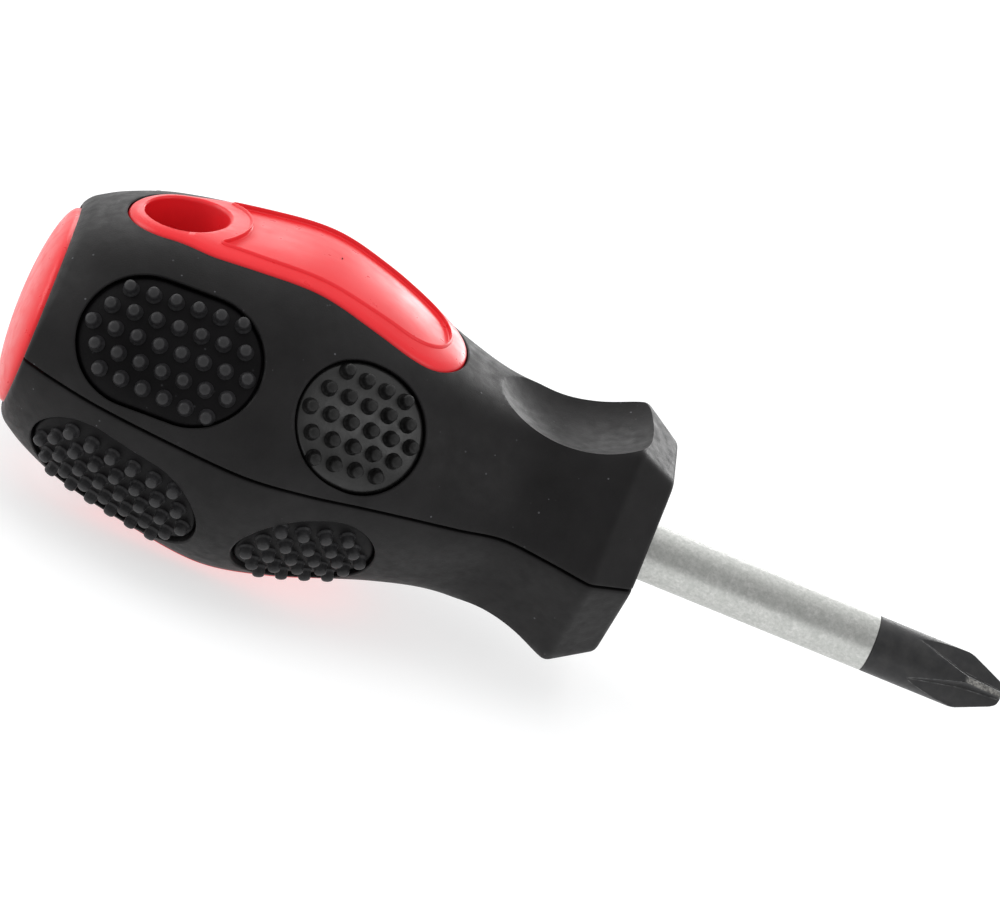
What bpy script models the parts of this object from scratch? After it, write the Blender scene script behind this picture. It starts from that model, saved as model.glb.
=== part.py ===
"""Stubby cross-point screwdriver, about 101 mm long.

The tool lies along X. The origin is the middle of the blade's blunt end, +X is the
direction in which the tool drives, and +Z points out through one of the two red panels.
The handle is a red core and end cap inside two black soft halves that meet at a seam in
the plane Z = 0. Eight studded pads sit in pockets of the two halves.
"""

import math

import bmesh
import bpy
from mathutils import Matrix, Vector

MM = 0.001
GAP = 0.3 * MM  # clearance between neighbouring pieces
CUT_REACH = 25 * MM  # how far the panels' cutters reach above and below the axis
PAST_END = 5 * MM  # how far cutters run past an end of what they cut

# Blade
BLADE_REACH = 38.0 * MM  # from the handle's front face to the blunt end
SHANK_RADIUS = 2.8 * MM
TANG_LENGTH = 36.0 * MM  # hidden inside the core
TIP_LENGTH = 13.7 * MM  # the blackened end
CONE_LENGTH = 4.0 * MM
BLUNT_RADIUS = 1.1 * MM
FLUTE_LENGTH = 9.6 * MM
FLUTE_HALF_ANGLE = math.radians(58.0)  # between a flute's middle plane and its wall
ROOT_AT_END = 0.6 * MM  # distance of a flute's root from the axis at the blunt end
ROOT_AT_CONE = 1.05 * MM  # the same where the cone meets the bar
WING_ANGLE = math.radians(60.0)  # of one wing, from +Z about X
BLADE_SIDES = 28

# Anchoring ears that stop the tang from turning in the core
EAR_SPAN = 9.4 * MM
EAR_THICKNESS = 1.8 * MM
EAR_LENGTH = 7.0 * MM
EAR_CENTRE = 26.0 * MM  # behind the handle's front face

# Handle sections in millimetres: distance behind the front face, half-width along Y and
# half-height along Z at a corner, and then sharpness, where 4 is round and 24 is a crisp
# hexagon with two of its corners at the seam
GRIP_SECTIONS = [
    (0.0, 9.7, 10.9, 24.0),
    (4.2, 12.2, 13.6, 24.0),
    (9.0, 10.8, 12.0, 20.0),
    (13.2, 10.1, 11.3, 14.0),
    (17.5, 11.8, 11.1, 9.0),
    (22.5, 13.6, 12.2, 6.5),
    (27.0, 15.3, 13.7, 5.5),
    (32.0, 17.3, 15.3, 5.0),
    (37.8, 18.8, 16.5, 5.0),
    (43.6, 18.4, 16.1, 5.0),
    (53.0, 16.6, 14.4, 5.0),
    (58.0, 14.7, 12.5, 5.0),
    (61.2, 13.0, 10.5, 5.0),
]
CHAMFER_LENGTH = 4.2 * MM
GRIP_LENGTH = 61.2 * MM
AROUND = 36  # points in each section
STATIONS = 15  # smooth sections behind the chamfer
ANGLE_STEP = 0.02  # radians either side of a point, for the surface's direction there

GRIP_WALL = 2.6 * MM
FRONT_WALL = 2.4 * MM
REAR_LIP = 0.9 * MM
CORE_END = 58.6 * MM  # behind the front face
CAP_BASE = 59.0 * MM
CAP_DOME = 2.3 * MM  # how far the cap stands out behind the soft halves

# Thumb scoops above and below the bolster
SCOOP_CENTRE = 11.4 * MM
SCOOP_HEIGHT = 19.5 * MM
SCOOP_RADII = (11.7 * MM, 12.9 * MM, 11.15 * MM)

# Red panels on the top and the bottom. Outlines are in millimetres as seen from above:
# distance behind the handle's front face and half-width, from the rear to the front
HOLE_CENTRE = 51.9 * MM
HOLE_RADIUS = 3.9 * MM
HOLE_SIDES = 32
PANEL_PROUD = 0.3 * MM
PANEL_REAR_RADIUS = 5.3 * MM
PANEL_OUTLINE = [(48.6, 6.5), (41.0, 7.2), (34.0, 7.4), (28.3, 7.0), (25.0, 5.9), (23.0, 3.3)]
PANEL_FRONT = 22.4
RECESS_OUTLINE = [(47.4, 4.9), (42.0, 5.6), (36.5, 5.8), (31.0, 5.4), (27.5, 4.7), (25.4, 2.9)]
RECESS_FRONT = 24.6
RECESS_REAR_RADIUS = 6.0 * MM
RECESS_DEPTH = 0.35 * MM

# Studded pads on both sides, at these section angles above and below the seam
UPPER_PAD_ANGLE = math.radians(30.0)
LOWER_PAD_ANGLE = math.radians(33.5)
PAD_SINK = 0.45 * MM  # the pad's floor below the surrounding surface
PAD_BED = 1.6 * MM  # the pocket's floor below the surrounding surface
PAD_REACH = 8 * MM  # how far a pocket's cutter goes each way from the surface
STUD_RADIUS = 0.62 * MM
STUD_TOP_RADIUS = 0.5 * MM
STUD_HEIGHT = 1.05 * MM
STUD_ROOT = 0.35 * MM
STUD_SIDES = 6
OVAL_PAD = {
    "centre": 49.1 * MM,
    "length": 17.5 * MM,
    "width": 12.6 * MM,
    "rows": (6, 7, 8, 7, 6),
    "pitch": 2.15 * MM,
    "row_pitch": 2.25 * MM,
}
ROUND_PAD = {
    "centre": 30.1 * MM,
    "length": 12.8 * MM,
    "width": 12.2 * MM,
    "rows": (4, 5, 6, 5, 4),
    "pitch": 2.07 * MM,
    "row_pitch": 2.1 * MM,
}

RED = (0.80, 0.045, 0.06, 1.0)
BLACK = (0.022, 0.023, 0.025, 1.0)
PAD_BLACK = (0.014, 0.014, 0.016, 1.0)
STEEL = (0.62, 0.62, 0.61, 1.0)
BLACKENED = (0.035, 0.035, 0.037, 1.0)


def clear_scene():
    for found in list(bpy.data.objects):
        bpy.data.objects.remove(found)


def new_collection(name):
    collection = bpy.data.collections.new(name)
    bpy.context.scene.collection.children.link(collection)
    return collection


def make_material(name, colour, roughness, metallic):
    material = bpy.data.materials.new(name)
    material.use_nodes = True
    shader = material.node_tree.nodes["Principled BSDF"]
    shader.inputs["Base Color"].default_value = colour
    shader.inputs["Roughness"].default_value = roughness
    shader.inputs["Metallic"].default_value = metallic
    material.diffuse_color = colour
    return material


def add_object(name, bm, collection, material=None):
    """Turns the bmesh into an object of that collection, shaded smooth with crisp edges."""
    bmesh.ops.recalc_face_normals(bm, faces=bm.faces)
    mesh = bpy.data.meshes.new(name)
    bm.to_mesh(mesh)
    bm.free()
    mesh.shade_smooth()
    mesh.set_sharp_from_angle(angle=math.radians(30.0))
    made = bpy.data.objects.new(name, mesh)
    collection.objects.link(made)
    if material:
        mesh.materials.append(material)
    else:
        made.hide_render = True
        made.display_type = "WIRE"
    return made


def combine(target, operation, other):
    modifier = target.modifiers.new(operation.title() + "_" + other.name, "BOOLEAN")
    modifier.operation = operation
    modifier.object = other


# ---------------------------------------------------------------- the handle's outer form


def smooth_value(sections, column, u):
    """A value of the section list at u, on a smooth curve through the list."""
    last = len(sections) - 1
    i = max(k for k in range(last) if sections[k][0] <= u or k == 0)
    before, start, end, after = (sections[min(max(k, 1), last)] for k in range(i - 1, i + 3))
    span = end[0] - start[0]
    t = (u - start[0]) / span

    def slope(a, b, own):
        return (b[column] - a[column]) / (b[0] - a[0]) if b[0] > a[0] else own

    own = (end[column] - start[column]) / span
    m0 = slope(before, end, own) * span
    m1 = slope(start, after, own) * span
    cube, square = t**3, t**2
    return (
        (2 * cube - 3 * square + 1) * start[column]
        + (cube - 2 * square + t) * m0
        + (3 * square - 2 * cube) * end[column]
        + (cube - square) * m1
    )


def section_at(u):
    """Half-width, half-height and sharpness, in millimetres, u millimetres behind the front face."""
    front, ring = GRIP_SECTIONS[0], GRIP_SECTIONS[1]
    if u <= ring[0]:
        t = (u - front[0]) / (ring[0] - front[0])
        return tuple(a + (b - a) * t for a, b in zip(front[1:], ring[1:]))
    u = min(u, GRIP_SECTIONS[-1][0])
    return tuple(smooth_value(GRIP_SECTIONS, column, u) for column in (1, 2, 3))


def hexagon_radius(angle, sharpness):
    """Radius of a soft hexagon with flats at 30, 90, 150 degrees and so on, and corners at radius 1."""

    def reach(a):
        flats = (math.cos(a - math.radians(30 + 60 * k)) for k in range(6))
        return sum(max(0.0, c) ** sharpness for c in flats) ** (-1 / sharpness)

    return reach(angle) / reach(0.0)


def surface_point(u, angle, inset=0.0):
    """The point of the outer form at that distance and angle about X, moved in by inset."""
    half_width, half_height, sharpness = section_at(u / MM)
    flat = hexagon_radius(math.radians(90), sharpness)
    radius = hexagon_radius(angle, sharpness)
    y = (half_width * MM - inset / flat) * radius * math.cos(angle)
    z = (half_height * MM - inset / flat) * radius * math.sin(angle)
    return Vector((-BLADE_REACH - u, y, z))


def arc_between(u, angle, inset=0.0):
    """A short chord around the outer form, from just before the angle to just after it."""
    after = surface_point(u, angle + ANGLE_STEP, inset)
    return after - surface_point(u, angle - ANGLE_STEP, inset)


def station_list(start, end):
    """Distances from start to end, with the bolster's edge among them."""
    smooth = [
        CHAMFER_LENGTH + (GRIP_LENGTH - CHAMFER_LENGTH) * k / STATIONS
        for k in range(STATIONS + 1)
    ]
    inner = [u for u in smooth if start + MM * 0.5 < u < end - MM * 0.5]
    return [start, *inner, end]


def loft(rings, bm=None):
    """A closed skin over rings that have the same number of points."""
    bm = bm or bmesh.new()
    rows = [[bm.verts.new(point) for point in ring] for ring in rings]
    for front, back in zip(rows, rows[1:]):
        for k in range(len(front)):
            n = (k + 1) % len(front)
            bm.faces.new((front[k], front[n], back[n], back[k]))
    bm.faces.new(rows[0])
    bm.faces.new(rows[-1][::-1])
    return bm


def form_ring(u, inset, place=None):
    """One section of the outer form, in by inset. It can be placed at another distance."""
    ring = [surface_point(u, math.tau * k / AROUND, inset) for k in range(AROUND)]
    if place is not None:
        for point in ring:
            point.x = -BLADE_REACH - place
    return ring


def form_solid(start, end, inset):
    """The handle's form between two distances, in by inset."""
    return loft([form_ring(u, inset) for u in station_list(start, end)])


def long_form(inset):
    """The whole form, in by inset and carried past both ends, for cutting with."""
    rings = [form_ring(u, inset) for u in station_list(0.0, GRIP_LENGTH)]
    rings.insert(0, form_ring(0.0, inset, place=-PAST_END))
    rings.append(form_ring(GRIP_LENGTH, inset, place=GRIP_LENGTH + PAST_END))
    return loft(rings)


# ---------------------------------------------------------------- outlines and prisms


def mirrored_outline(front, side_points, rear_arc):
    """A closed outline, symmetric about X: a smooth side, then an arc at the rear. It has no
    corner on X itself, where the handle's sections have one."""
    half = smooth_side(front, side_points) + rear_arc
    return [*half, *((x, -y) for x, y in reversed(half))]


def smooth_side(front, side_points, steps=3):
    """Points of a curve that leaves the front point sideways and runs through side_points."""
    knots = [Vector((front, 0.0)), *(Vector(p) for p in reversed(side_points))]
    lead = Vector((knots[1].x, -knots[1].y))
    trail = knots[-1] * 2 - knots[-2]
    chain = [lead, *knots, trail]
    made = []
    for i in range(1, len(chain) - 2):
        a, b, c, d = chain[i - 1 : i + 3]
        for step in range(1, steps + 1):
            t = step / steps
            p = 0.5 * (2 * b + (c - a) * t + (2 * a - 5 * b + 4 * c - d) * t**2)
            p += 0.5 * (3 * b - 3 * c + d - a) * t**3
            made.append((-BLADE_REACH - p.x * MM, p.y * MM))
    return made


def hole_arc(radius, start, end, steps):
    """Arc about the hanging hole. Angles are from the handle's rear, towards the side."""
    x0 = -BLADE_REACH - HOLE_CENTRE
    angles = [start + (end - start) * k / steps for k in range(steps + 1)]
    return [(x0 - radius * math.cos(a), radius * math.sin(a)) for a in angles]


def panel_outline(grow):
    """The red panel's outline from above, moved out by grow."""
    arc = hole_arc(PANEL_REAR_RADIUS, math.radians(100), math.radians(5), 9)
    return offset_outline(mirrored_outline(PANEL_FRONT, PANEL_OUTLINE, arc), grow)


def recess_outline():
    """The shallow recess ahead of the hanging hole, with a rear edge that follows the hole."""
    corner = math.asin(RECESS_OUTLINE[0][1] * MM / RECESS_REAR_RADIUS)
    arc = hole_arc(RECESS_REAR_RADIUS, math.pi - corner, math.radians(175), 4)[1:]
    return mirrored_outline(RECESS_FRONT, RECESS_OUTLINE, arc)


def stadium(length, width, steps=8):
    """An oval of two half circles and straight sides, centred on 0, 0."""
    radius = width / 2
    straight = (length - width) / 2
    points = []
    for end in (1, -1):
        for k in range(steps + 1):
            angle = math.pi * k / steps - math.pi / 2
            points.append((end * (straight + radius * math.cos(angle)), end * radius * math.sin(angle)))
    return points


def offset_outline(points, grow):
    """Moves a closed outline out by grow, along each corner's own normal."""
    area = sum(a[0] * b[1] - b[0] * a[1] for a, b in zip(points, points[1:] + points[:1]))
    side = math.copysign(1.0, area)
    moved = []
    for k, (x, y) in enumerate(points):
        before, after = Vector(points[k - 1]), Vector(points[(k + 1) % len(points)])
        along = (after - before).normalized()
        moved.append((x + along.y * grow * side, y - along.x * grow * side))
    return moved


def prism(outline, low, high):
    """The outline, in X and Y, drawn out from low to high along Z."""
    return loft([[Vector((x, y, z)) for x, y in outline] for z in (low, high)])


# ---------------------------------------------------------------- blade


def cylinder(radius, x_front, x_back, sides=BLADE_SIDES):
    """A round bar along X."""
    bm = bmesh.new()
    place = Matrix.Translation(((x_front + x_back) / 2, 0, 0)) @ Matrix.Rotation(math.pi / 2, 4, "Y")
    bmesh.ops.create_cone(
        bm, cap_ends=True, segments=sides, radius1=radius, radius2=radius,
        depth=x_front - x_back, matrix=place,
    )
    return bm


def box(centre, size):
    bm = bmesh.new()
    place = Matrix.Translation(centre) @ Matrix.Diagonal((*size, 1.0))
    bmesh.ops.create_cube(bm, size=1.0, matrix=place)
    return bm


def tang_parts(grow):
    """The bar inside the handle and its ears, both larger by grow on every side."""
    front = -TIP_LENGTH - GAP / 2 if grow == 0 else -BLADE_REACH + PAST_END
    bar = cylinder(SHANK_RADIUS + grow, front, -BLADE_REACH - TANG_LENGTH - grow)
    size = (EAR_LENGTH + 2 * grow, EAR_SPAN + 2 * grow, EAR_THICKNESS + 2 * grow)
    ears = box((-BLADE_REACH - EAR_CENTRE, 0, 0), size)
    return bar, ears


def make_shank(parts, cutters, steel):
    bar, ears = tang_parts(0.0)
    shank = add_object("shank", bar, parts, steel)
    combine(shank, "UNION", add_object("tang_ears", ears, cutters))


def flute_cutter():
    """A V-shaped groove along X, opening towards +Z, whose root climbs slowly along the cone
    and faster behind it until it leaves the bar."""
    run_out = (SHANK_RADIUS - ROOT_AT_CONE) / (FLUTE_LENGTH - CONE_LENGTH)
    beyond = 2 * MM
    roots = (
        (PAST_END, ROOT_AT_END),
        (0.0, ROOT_AT_END),
        (-CONE_LENGTH, ROOT_AT_CONE),
        (-FLUTE_LENGTH - beyond, SHANK_RADIUS + run_out * beyond),
    )
    height = 2 * SHANK_RADIUS
    half_width = height * math.tan(FLUTE_HALF_ANGLE)
    rings = []
    for x, root in roots:
        top = root + height
        rings.append([Vector((x, 0, root)), Vector((x, half_width, top)), Vector((x, -half_width, top))])
    return loft(rings)


def make_tip(parts, cutters, blackened):
    """The blackened end: a bar with a cone, and four flutes that leave a cross."""
    angles = [math.tau * k / BLADE_SIDES for k in range(BLADE_SIDES)]
    stations = ((-TIP_LENGTH + GAP / 2, SHANK_RADIUS), (-CONE_LENGTH, SHANK_RADIUS), (0.0, BLUNT_RADIUS))
    rings = []
    for x, radius in stations:
        rings.append([Vector((x, radius * math.cos(a), radius * math.sin(a))) for a in angles])
    tip = add_object("blade_tip", loft(rings), parts, blackened)
    for k in range(4):
        cutter = add_object(f"flute_{k + 1}", flute_cutter(), cutters)
        cutter.matrix_world = Matrix.Rotation(WING_ANGLE + math.pi / 4 + k * math.pi / 2, 4, "X")
        combine(tip, "DIFFERENCE", cutter)


# ---------------------------------------------------------------- handle


def make_core(parts, cutters, red):
    """The red core: a plug inside the soft halves, a panel on each face, hole, recesses, socket."""
    core = add_object("handle_core", form_solid(FRONT_WALL + GAP, CORE_END, GRIP_WALL + GAP), parts, red)
    panel_skin = add_object("panel_skin", long_form(-PANEL_PROUD), cutters)
    recess_skin = add_object("recess_skin", long_form(RECESS_DEPTH - PANEL_PROUD), cutters)
    panels = add_object("panels", prism(panel_outline(0.0), -CUT_REACH, CUT_REACH), cutters)
    combine(panels, "INTERSECT", panel_skin)
    recesses = add_object("recesses", prism(recess_outline(), -CUT_REACH, CUT_REACH), cutters)
    combine(recesses, "DIFFERENCE", recess_skin)
    combine(core, "UNION", panels)
    combine(core, "DIFFERENCE", recesses)
    hole = bmesh.new()
    half_step = Matrix.Rotation(math.pi / HOLE_SIDES, 4, "Z")
    bmesh.ops.create_cone(
        hole, cap_ends=True, segments=HOLE_SIDES, radius1=HOLE_RADIUS, radius2=HOLE_RADIUS,
        depth=2 * CUT_REACH, matrix=Matrix.Translation((-BLADE_REACH - HOLE_CENTRE, 0, 0)) @ half_step,
    )
    combine(core, "DIFFERENCE", add_object("hanging_bore", hole, cutters))
    bar, ears = tang_parts(GAP)
    combine(core, "DIFFERENCE", add_object("shank_socket", bar, cutters))
    combine(core, "DIFFERENCE", add_object("ear_socket", ears, cutters))


def make_end_cap(parts, red):
    """The domed red cap: a disc inside the soft halves' rear lip, and a low dome behind it."""
    lip = REAR_LIP + GAP
    rings = [form_ring(u, lip) for u in (CAP_BASE, GRIP_LENGTH - 1 * MM, GRIP_LENGTH)]
    dome_steps = 6
    for k in range(1, dome_steps):
        rise = math.radians(90.0 * k / dome_steps)
        ring = form_ring(GRIP_LENGTH, lip, place=GRIP_LENGTH + CAP_DOME * math.sin(rise))
        for point in ring:
            point.y *= math.cos(rise)
            point.z *= math.cos(rise)
        rings.append(ring)
    add_object("end_cap", loft(rings), parts, red)


def make_scoops(cutters):
    """Ball-shaped cutters for the thumb scoops, one above and one below."""
    scoops = []
    for side in (1, -1):
        bm = bmesh.new()
        place = Matrix.Translation((-BLADE_REACH - SCOOP_CENTRE, 0, side * SCOOP_HEIGHT))
        bmesh.ops.create_uvsphere(
            bm, u_segments=48, v_segments=32, radius=1.0,
            matrix=place @ Matrix.Diagonal((*SCOOP_RADII, 1.0)),
        )
        scoops.append(add_object(f"scoop_{'top' if side > 0 else 'bottom'}", bm, cutters))
    return scoops


def side_name(side):
    return "right" if side > 0 else "left"


def pad_elevation(half):
    """A pad's angle above the seam. Half is +1 for the upper pads and -1 for the lower ones."""
    return UPPER_PAD_ANGLE if half > 0 else -LOWER_PAD_ANGLE


def section_angle(side, half):
    """The section angle of a pad's middle. Side is +1 for +Y."""
    return pad_elevation(half) if side > 0 else math.pi - pad_elevation(half)


def pad_prism(pad, side, half, grow):
    """The pad's oval, drawn through the surface along its normal at the pad's middle."""
    angle = section_angle(side, half)
    middle = surface_point(pad["centre"], angle)
    around = arc_between(pad["centre"], angle)
    turn = math.atan2(around.z, around.y) + math.pi
    outline = stadium(pad["length"] + 2 * grow, pad["width"] + 2 * grow)
    bm = prism(outline, -PAD_REACH, PAD_REACH)
    place = Matrix.Translation(middle) @ Matrix.Rotation(turn, 4, "X")
    bmesh.ops.transform(bm, matrix=place, verts=bm.verts)
    return bm


def make_grip(name, half, parts, cutters, black, shared):
    """One soft half: the outer form without the core's space, window, pockets, scoop and other half."""
    grip = add_object(name, form_solid(0.0, GRIP_LENGTH, 0.0), parts, black)
    combine(grip, "DIFFERENCE", shared["core_space"])
    combine(grip, "DIFFERENCE", shared["cap_space"])
    combine(grip, "DIFFERENCE", shared["shank_space"])
    combine(grip, "DIFFERENCE", shared["windows"])
    combine(grip, "DIFFERENCE", shared["scoops"][0 if half > 0 else 1])
    for pad_name, pad in (("oval", OVAL_PAD), ("round", ROUND_PAD)):
        for side in (1, -1):
            label = f"{name}_{pad_name}_{side_name(side)}_pocket"
            pocket = add_object(label, pad_prism(pad, side, half, 0.0), cutters)
            combine(pocket, "DIFFERENCE", shared["pad_bed"])
            combine(grip, "DIFFERENCE", pocket)
    size = 2 * GRIP_LENGTH
    centre = (-BLADE_REACH - GRIP_LENGTH / 2, 0, -half * (size - GAP) / 2)
    other_half = box(centre, (size, size, size))
    combine(grip, "DIFFERENCE", add_object(f"{name}_other_half", other_half, cutters))


def grip_spaces(cutters):
    """Cutters that both soft halves share."""
    core_space = form_solid(FRONT_WALL, GRIP_LENGTH + PAST_END, GRIP_WALL)
    rings = [form_ring(u, REAR_LIP) for u in (CAP_BASE - GAP, GRIP_LENGTH - 1 * MM)]
    for past_end in (0.05 * MM, PAST_END):
        rings.append(form_ring(GRIP_LENGTH, REAR_LIP, place=GRIP_LENGTH + past_end))
    windows = prism(panel_outline(GAP), -CUT_REACH, CUT_REACH)
    shank_space = cylinder(SHANK_RADIUS + GAP, -BLADE_REACH + PAST_END, -BLADE_REACH - PAST_END)
    return {
        "core_space": add_object("core_space", core_space, cutters),
        "cap_space": add_object("cap_space", loft(rings), cutters),
        "shank_space": add_object("shank_space", shank_space, cutters),
        "windows": add_object("panel_windows", windows, cutters),
        "scoops": make_scoops(cutters),
        "pad_bed": add_object("pad_bed", long_form(PAD_BED), cutters),
    }


def stud_frame(u, angle):
    """A matrix that stands a stud on the pad's floor, pointing out along the surface's normal."""
    step = 0.2 * MM
    here = surface_point(u, angle, PAD_SINK)
    along = surface_point(u + step, angle, PAD_SINK) - surface_point(u - step, angle, PAD_SINK)
    normal = along.cross(arc_between(u, angle, PAD_SINK)).normalized()
    if normal.dot(Vector((0, here.y, here.z))) < 0:
        normal.negate()
    turn = normal.to_track_quat("Z", "X").to_matrix().to_4x4()
    return Matrix.Translation(here) @ turn


def make_studs(name, pad, side, half, cutters):
    """The pad's studs, in staggered rows, as one helper mesh of separate bodies."""
    bm = bmesh.new()
    middle = (len(pad["rows"]) - 1) / 2
    facet = section_angle(side, half)
    row_turn = pad["row_pitch"] * 2 * ANGLE_STEP / arc_between(pad["centre"], facet).length
    height = STUD_HEIGHT + STUD_ROOT
    for row, count in enumerate(pad["rows"]):
        angle = facet + (row - middle) * row_turn
        for k in range(count):
            u = pad["centre"] + (k - (count - 1) / 2) * pad["pitch"]
            place = stud_frame(u, angle) @ Matrix.Translation((0, 0, height / 2 - STUD_ROOT))
            bmesh.ops.create_cone(
                bm, cap_ends=True, segments=STUD_SIDES, radius1=STUD_RADIUS,
                radius2=STUD_TOP_RADIUS, depth=height, matrix=place,
            )
    return add_object(f"{name}_studs", bm, cutters)


def make_pads(parts, cutters, pad_black):
    """Eight pads: a plate with the handle's curve, a little below its surface, and its studs."""
    floor_skin = add_object("pad_floor", long_form(PAD_SINK), cutters)
    back_skin = add_object("pad_back", long_form(PAD_BED - GAP), cutters)
    for pad_name, pad in (("oval", OVAL_PAD), ("round", ROUND_PAD)):
        for half in (1, -1):
            for side in (1, -1):
                name = "_".join((pad_name, "pad", "upper" if half > 0 else "lower", side_name(side)))
                plate = add_object(name, pad_prism(pad, side, half, -GAP), parts, pad_black)
                combine(plate, "INTERSECT", floor_skin)
                combine(plate, "DIFFERENCE", back_skin)
                combine(plate, "UNION", make_studs(name, pad, side, half, cutters))


def main():
    clear_scene()
    parts = new_collection("stubby_screwdriver")
    cutters = new_collection("cutters")
    red = make_material("red_plastic", RED, 0.35, 0.0)
    black = make_material("black_grip", BLACK, 0.6, 0.0)
    pad_black = make_material("black_pad", PAD_BLACK, 0.6, 0.0)
    make_shank(parts, cutters, make_material("satin_chrome", STEEL, 0.35, 1.0))
    make_tip(parts, cutters, make_material("blackened_steel", BLACKENED, 0.45, 0.8))
    make_core(parts, cutters, red)
    make_end_cap(parts, red)
    shared = grip_spaces(cutters)
    make_grip("grip_upper", 1, parts, cutters, black, shared)
    make_grip("grip_lower", -1, parts, cutters, black, shared)
    make_pads(parts, cutters, pad_black)


main()
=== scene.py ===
"""Looks of the stubby screwdriver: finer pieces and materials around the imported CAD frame.

Every piece is worked out in millimetres in the row frame: the origin is the middle of the
blade's blunt end, +X is the way the tool drives, and "u" is the distance behind the
handle's front face. Points go to metres when a mesh is made.
"""

import math

import bmesh
import bpy
import numpy as np
from mathutils import Matrix, Vector


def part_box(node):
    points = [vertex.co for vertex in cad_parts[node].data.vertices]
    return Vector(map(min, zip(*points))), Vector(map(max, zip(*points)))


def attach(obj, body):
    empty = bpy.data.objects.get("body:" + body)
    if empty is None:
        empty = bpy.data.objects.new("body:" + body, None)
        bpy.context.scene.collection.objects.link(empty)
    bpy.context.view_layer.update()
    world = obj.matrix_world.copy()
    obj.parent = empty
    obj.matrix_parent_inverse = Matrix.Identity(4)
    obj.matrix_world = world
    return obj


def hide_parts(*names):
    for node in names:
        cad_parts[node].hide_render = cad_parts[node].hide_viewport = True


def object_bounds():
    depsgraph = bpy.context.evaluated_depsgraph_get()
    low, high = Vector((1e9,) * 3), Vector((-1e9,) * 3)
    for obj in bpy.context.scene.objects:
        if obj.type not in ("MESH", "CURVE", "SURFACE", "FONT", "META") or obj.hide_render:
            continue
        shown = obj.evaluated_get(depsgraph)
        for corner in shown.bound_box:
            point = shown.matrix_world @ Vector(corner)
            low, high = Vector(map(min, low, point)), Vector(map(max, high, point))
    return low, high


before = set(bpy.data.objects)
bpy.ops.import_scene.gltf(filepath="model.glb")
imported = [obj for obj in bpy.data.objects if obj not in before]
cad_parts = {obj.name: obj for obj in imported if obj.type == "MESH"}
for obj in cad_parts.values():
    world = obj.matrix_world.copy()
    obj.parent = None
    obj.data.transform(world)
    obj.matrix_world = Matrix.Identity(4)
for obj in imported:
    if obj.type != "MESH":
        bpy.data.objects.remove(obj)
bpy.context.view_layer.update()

MM = 0.001

# From the frame
FACE_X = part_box("grip_upper")[1].x / MM
GRIP_LENGTH = FACE_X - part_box("grip_upper")[0].x / MM
TIP_X = (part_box("blade_tip")[0].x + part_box("shank")[1].x) / 2 / MM
TANG_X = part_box("shank")[0].x / MM
SHANK_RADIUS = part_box("blade_tip")[1].z / MM
EAR_SPAN = 2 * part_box("shank")[1].y / MM
CAP_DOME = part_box("grip_upper")[0].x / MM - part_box("end_cap")[0].x / MM

# Handle sections: distance behind the front face, half-width along Y, half-height along Z,
# and sharpness, where 4 is round and 24 is a crisp hexagon with corners at the seam
SECTIONS = np.array([
    (0.0, 9.7, 10.9, 24.0),
    (4.2, 12.2, 13.6, 24.0),
    (9.0, 10.8, 12.0, 20.0),
    (13.2, 10.1, 11.3, 14.0),
    (17.5, 11.8, 11.1, 9.0),
    (22.5, 13.6, 12.2, 6.5),
    (27.0, 15.3, 13.7, 5.5),
    (32.0, 17.3, 15.3, 5.0),
    (37.8, 18.8, 16.5, 5.0),
    (43.6, 18.4, 16.1, 5.0),
    (53.0, 16.6, 14.4, 5.0),
    (58.0, 14.7, 12.5, 5.0),
    (61.2, 13.0, 10.5, 5.0),
])
CHAMFER = SECTIONS[1, 0]
# Spread of the average that rounds the bolster's edge
EDGE_SOFTNESS = np.array([-0.4, -0.2, 0.0, 0.2, 0.4])
AROUND = 240  # points round a visible section
HIDDEN_AROUND = 96  # points round a section inside the handle
STEP = 0.4  # between sections of the grip
HIDDEN_STEP = 1.2
FRONT_ROUND = 0.45
REAR_ROUND = (0.4, 1.2)  # at the seam, and at the panels
SEAM_GAP = 0.26
SEAM_LIP = 0.2
GRIP_WALL = 2.6
FRONT_WALL = 2.4
REAR_LIP = 0.9
CAP_BASE = 59.0
CAP_SPACE_SECTIONS = (59.4, 60.2, 60.9)  # between the cap's base and the rear
CORE_REAR = 58.6
GAP = 0.3
CLEAR = 4.0  # how far cutters stand outside the form
WELD = 0.002  # points closer than this become one

# The thumb scoops behind the bolster: ellipsoids above and below the handle
SCOOP_CENTRE = 11.4
SCOOP_HEIGHT = 19.5
SCOOP_RADII = (11.7, 12.9, 11.15)

# Red panels: distance behind the front face and half-width, from the rear to the front
HOLE_CENTRE = 51.9
HOLE_RADIUS = 3.9
HOLE_LIP = 0.45
HOLE_LEVEL = -0.3  # the crowned panel's surface at the hole, as an inset
HOLE_WALL = 5.0  # how far in the flared hole follows the form
PANEL_MIDDLE = 40.0
PANEL_DEPTH = 3.6
PANEL_GAP = 0.1
PANEL_POINTS = 400
PANEL_REAR_RADIUS = 5.3
PANEL_OUTLINE = [(48.6, 6.5), (41.0, 7.2), (34.0, 7.4), (28.3, 7.0), (25.0, 5.9), (23.0, 3.3)]
PANEL_FRONT = 22.4
RECESS_OUTLINE = [(47.4, 4.9), (42.0, 5.6), (36.5, 5.8), (31.0, 5.4), (27.5, 4.7), (25.4, 2.9)]
RECESS_FRONT = 24.6
RECESS_REAR_RADIUS = 6.0
RECESS_POINTS = 300
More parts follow.
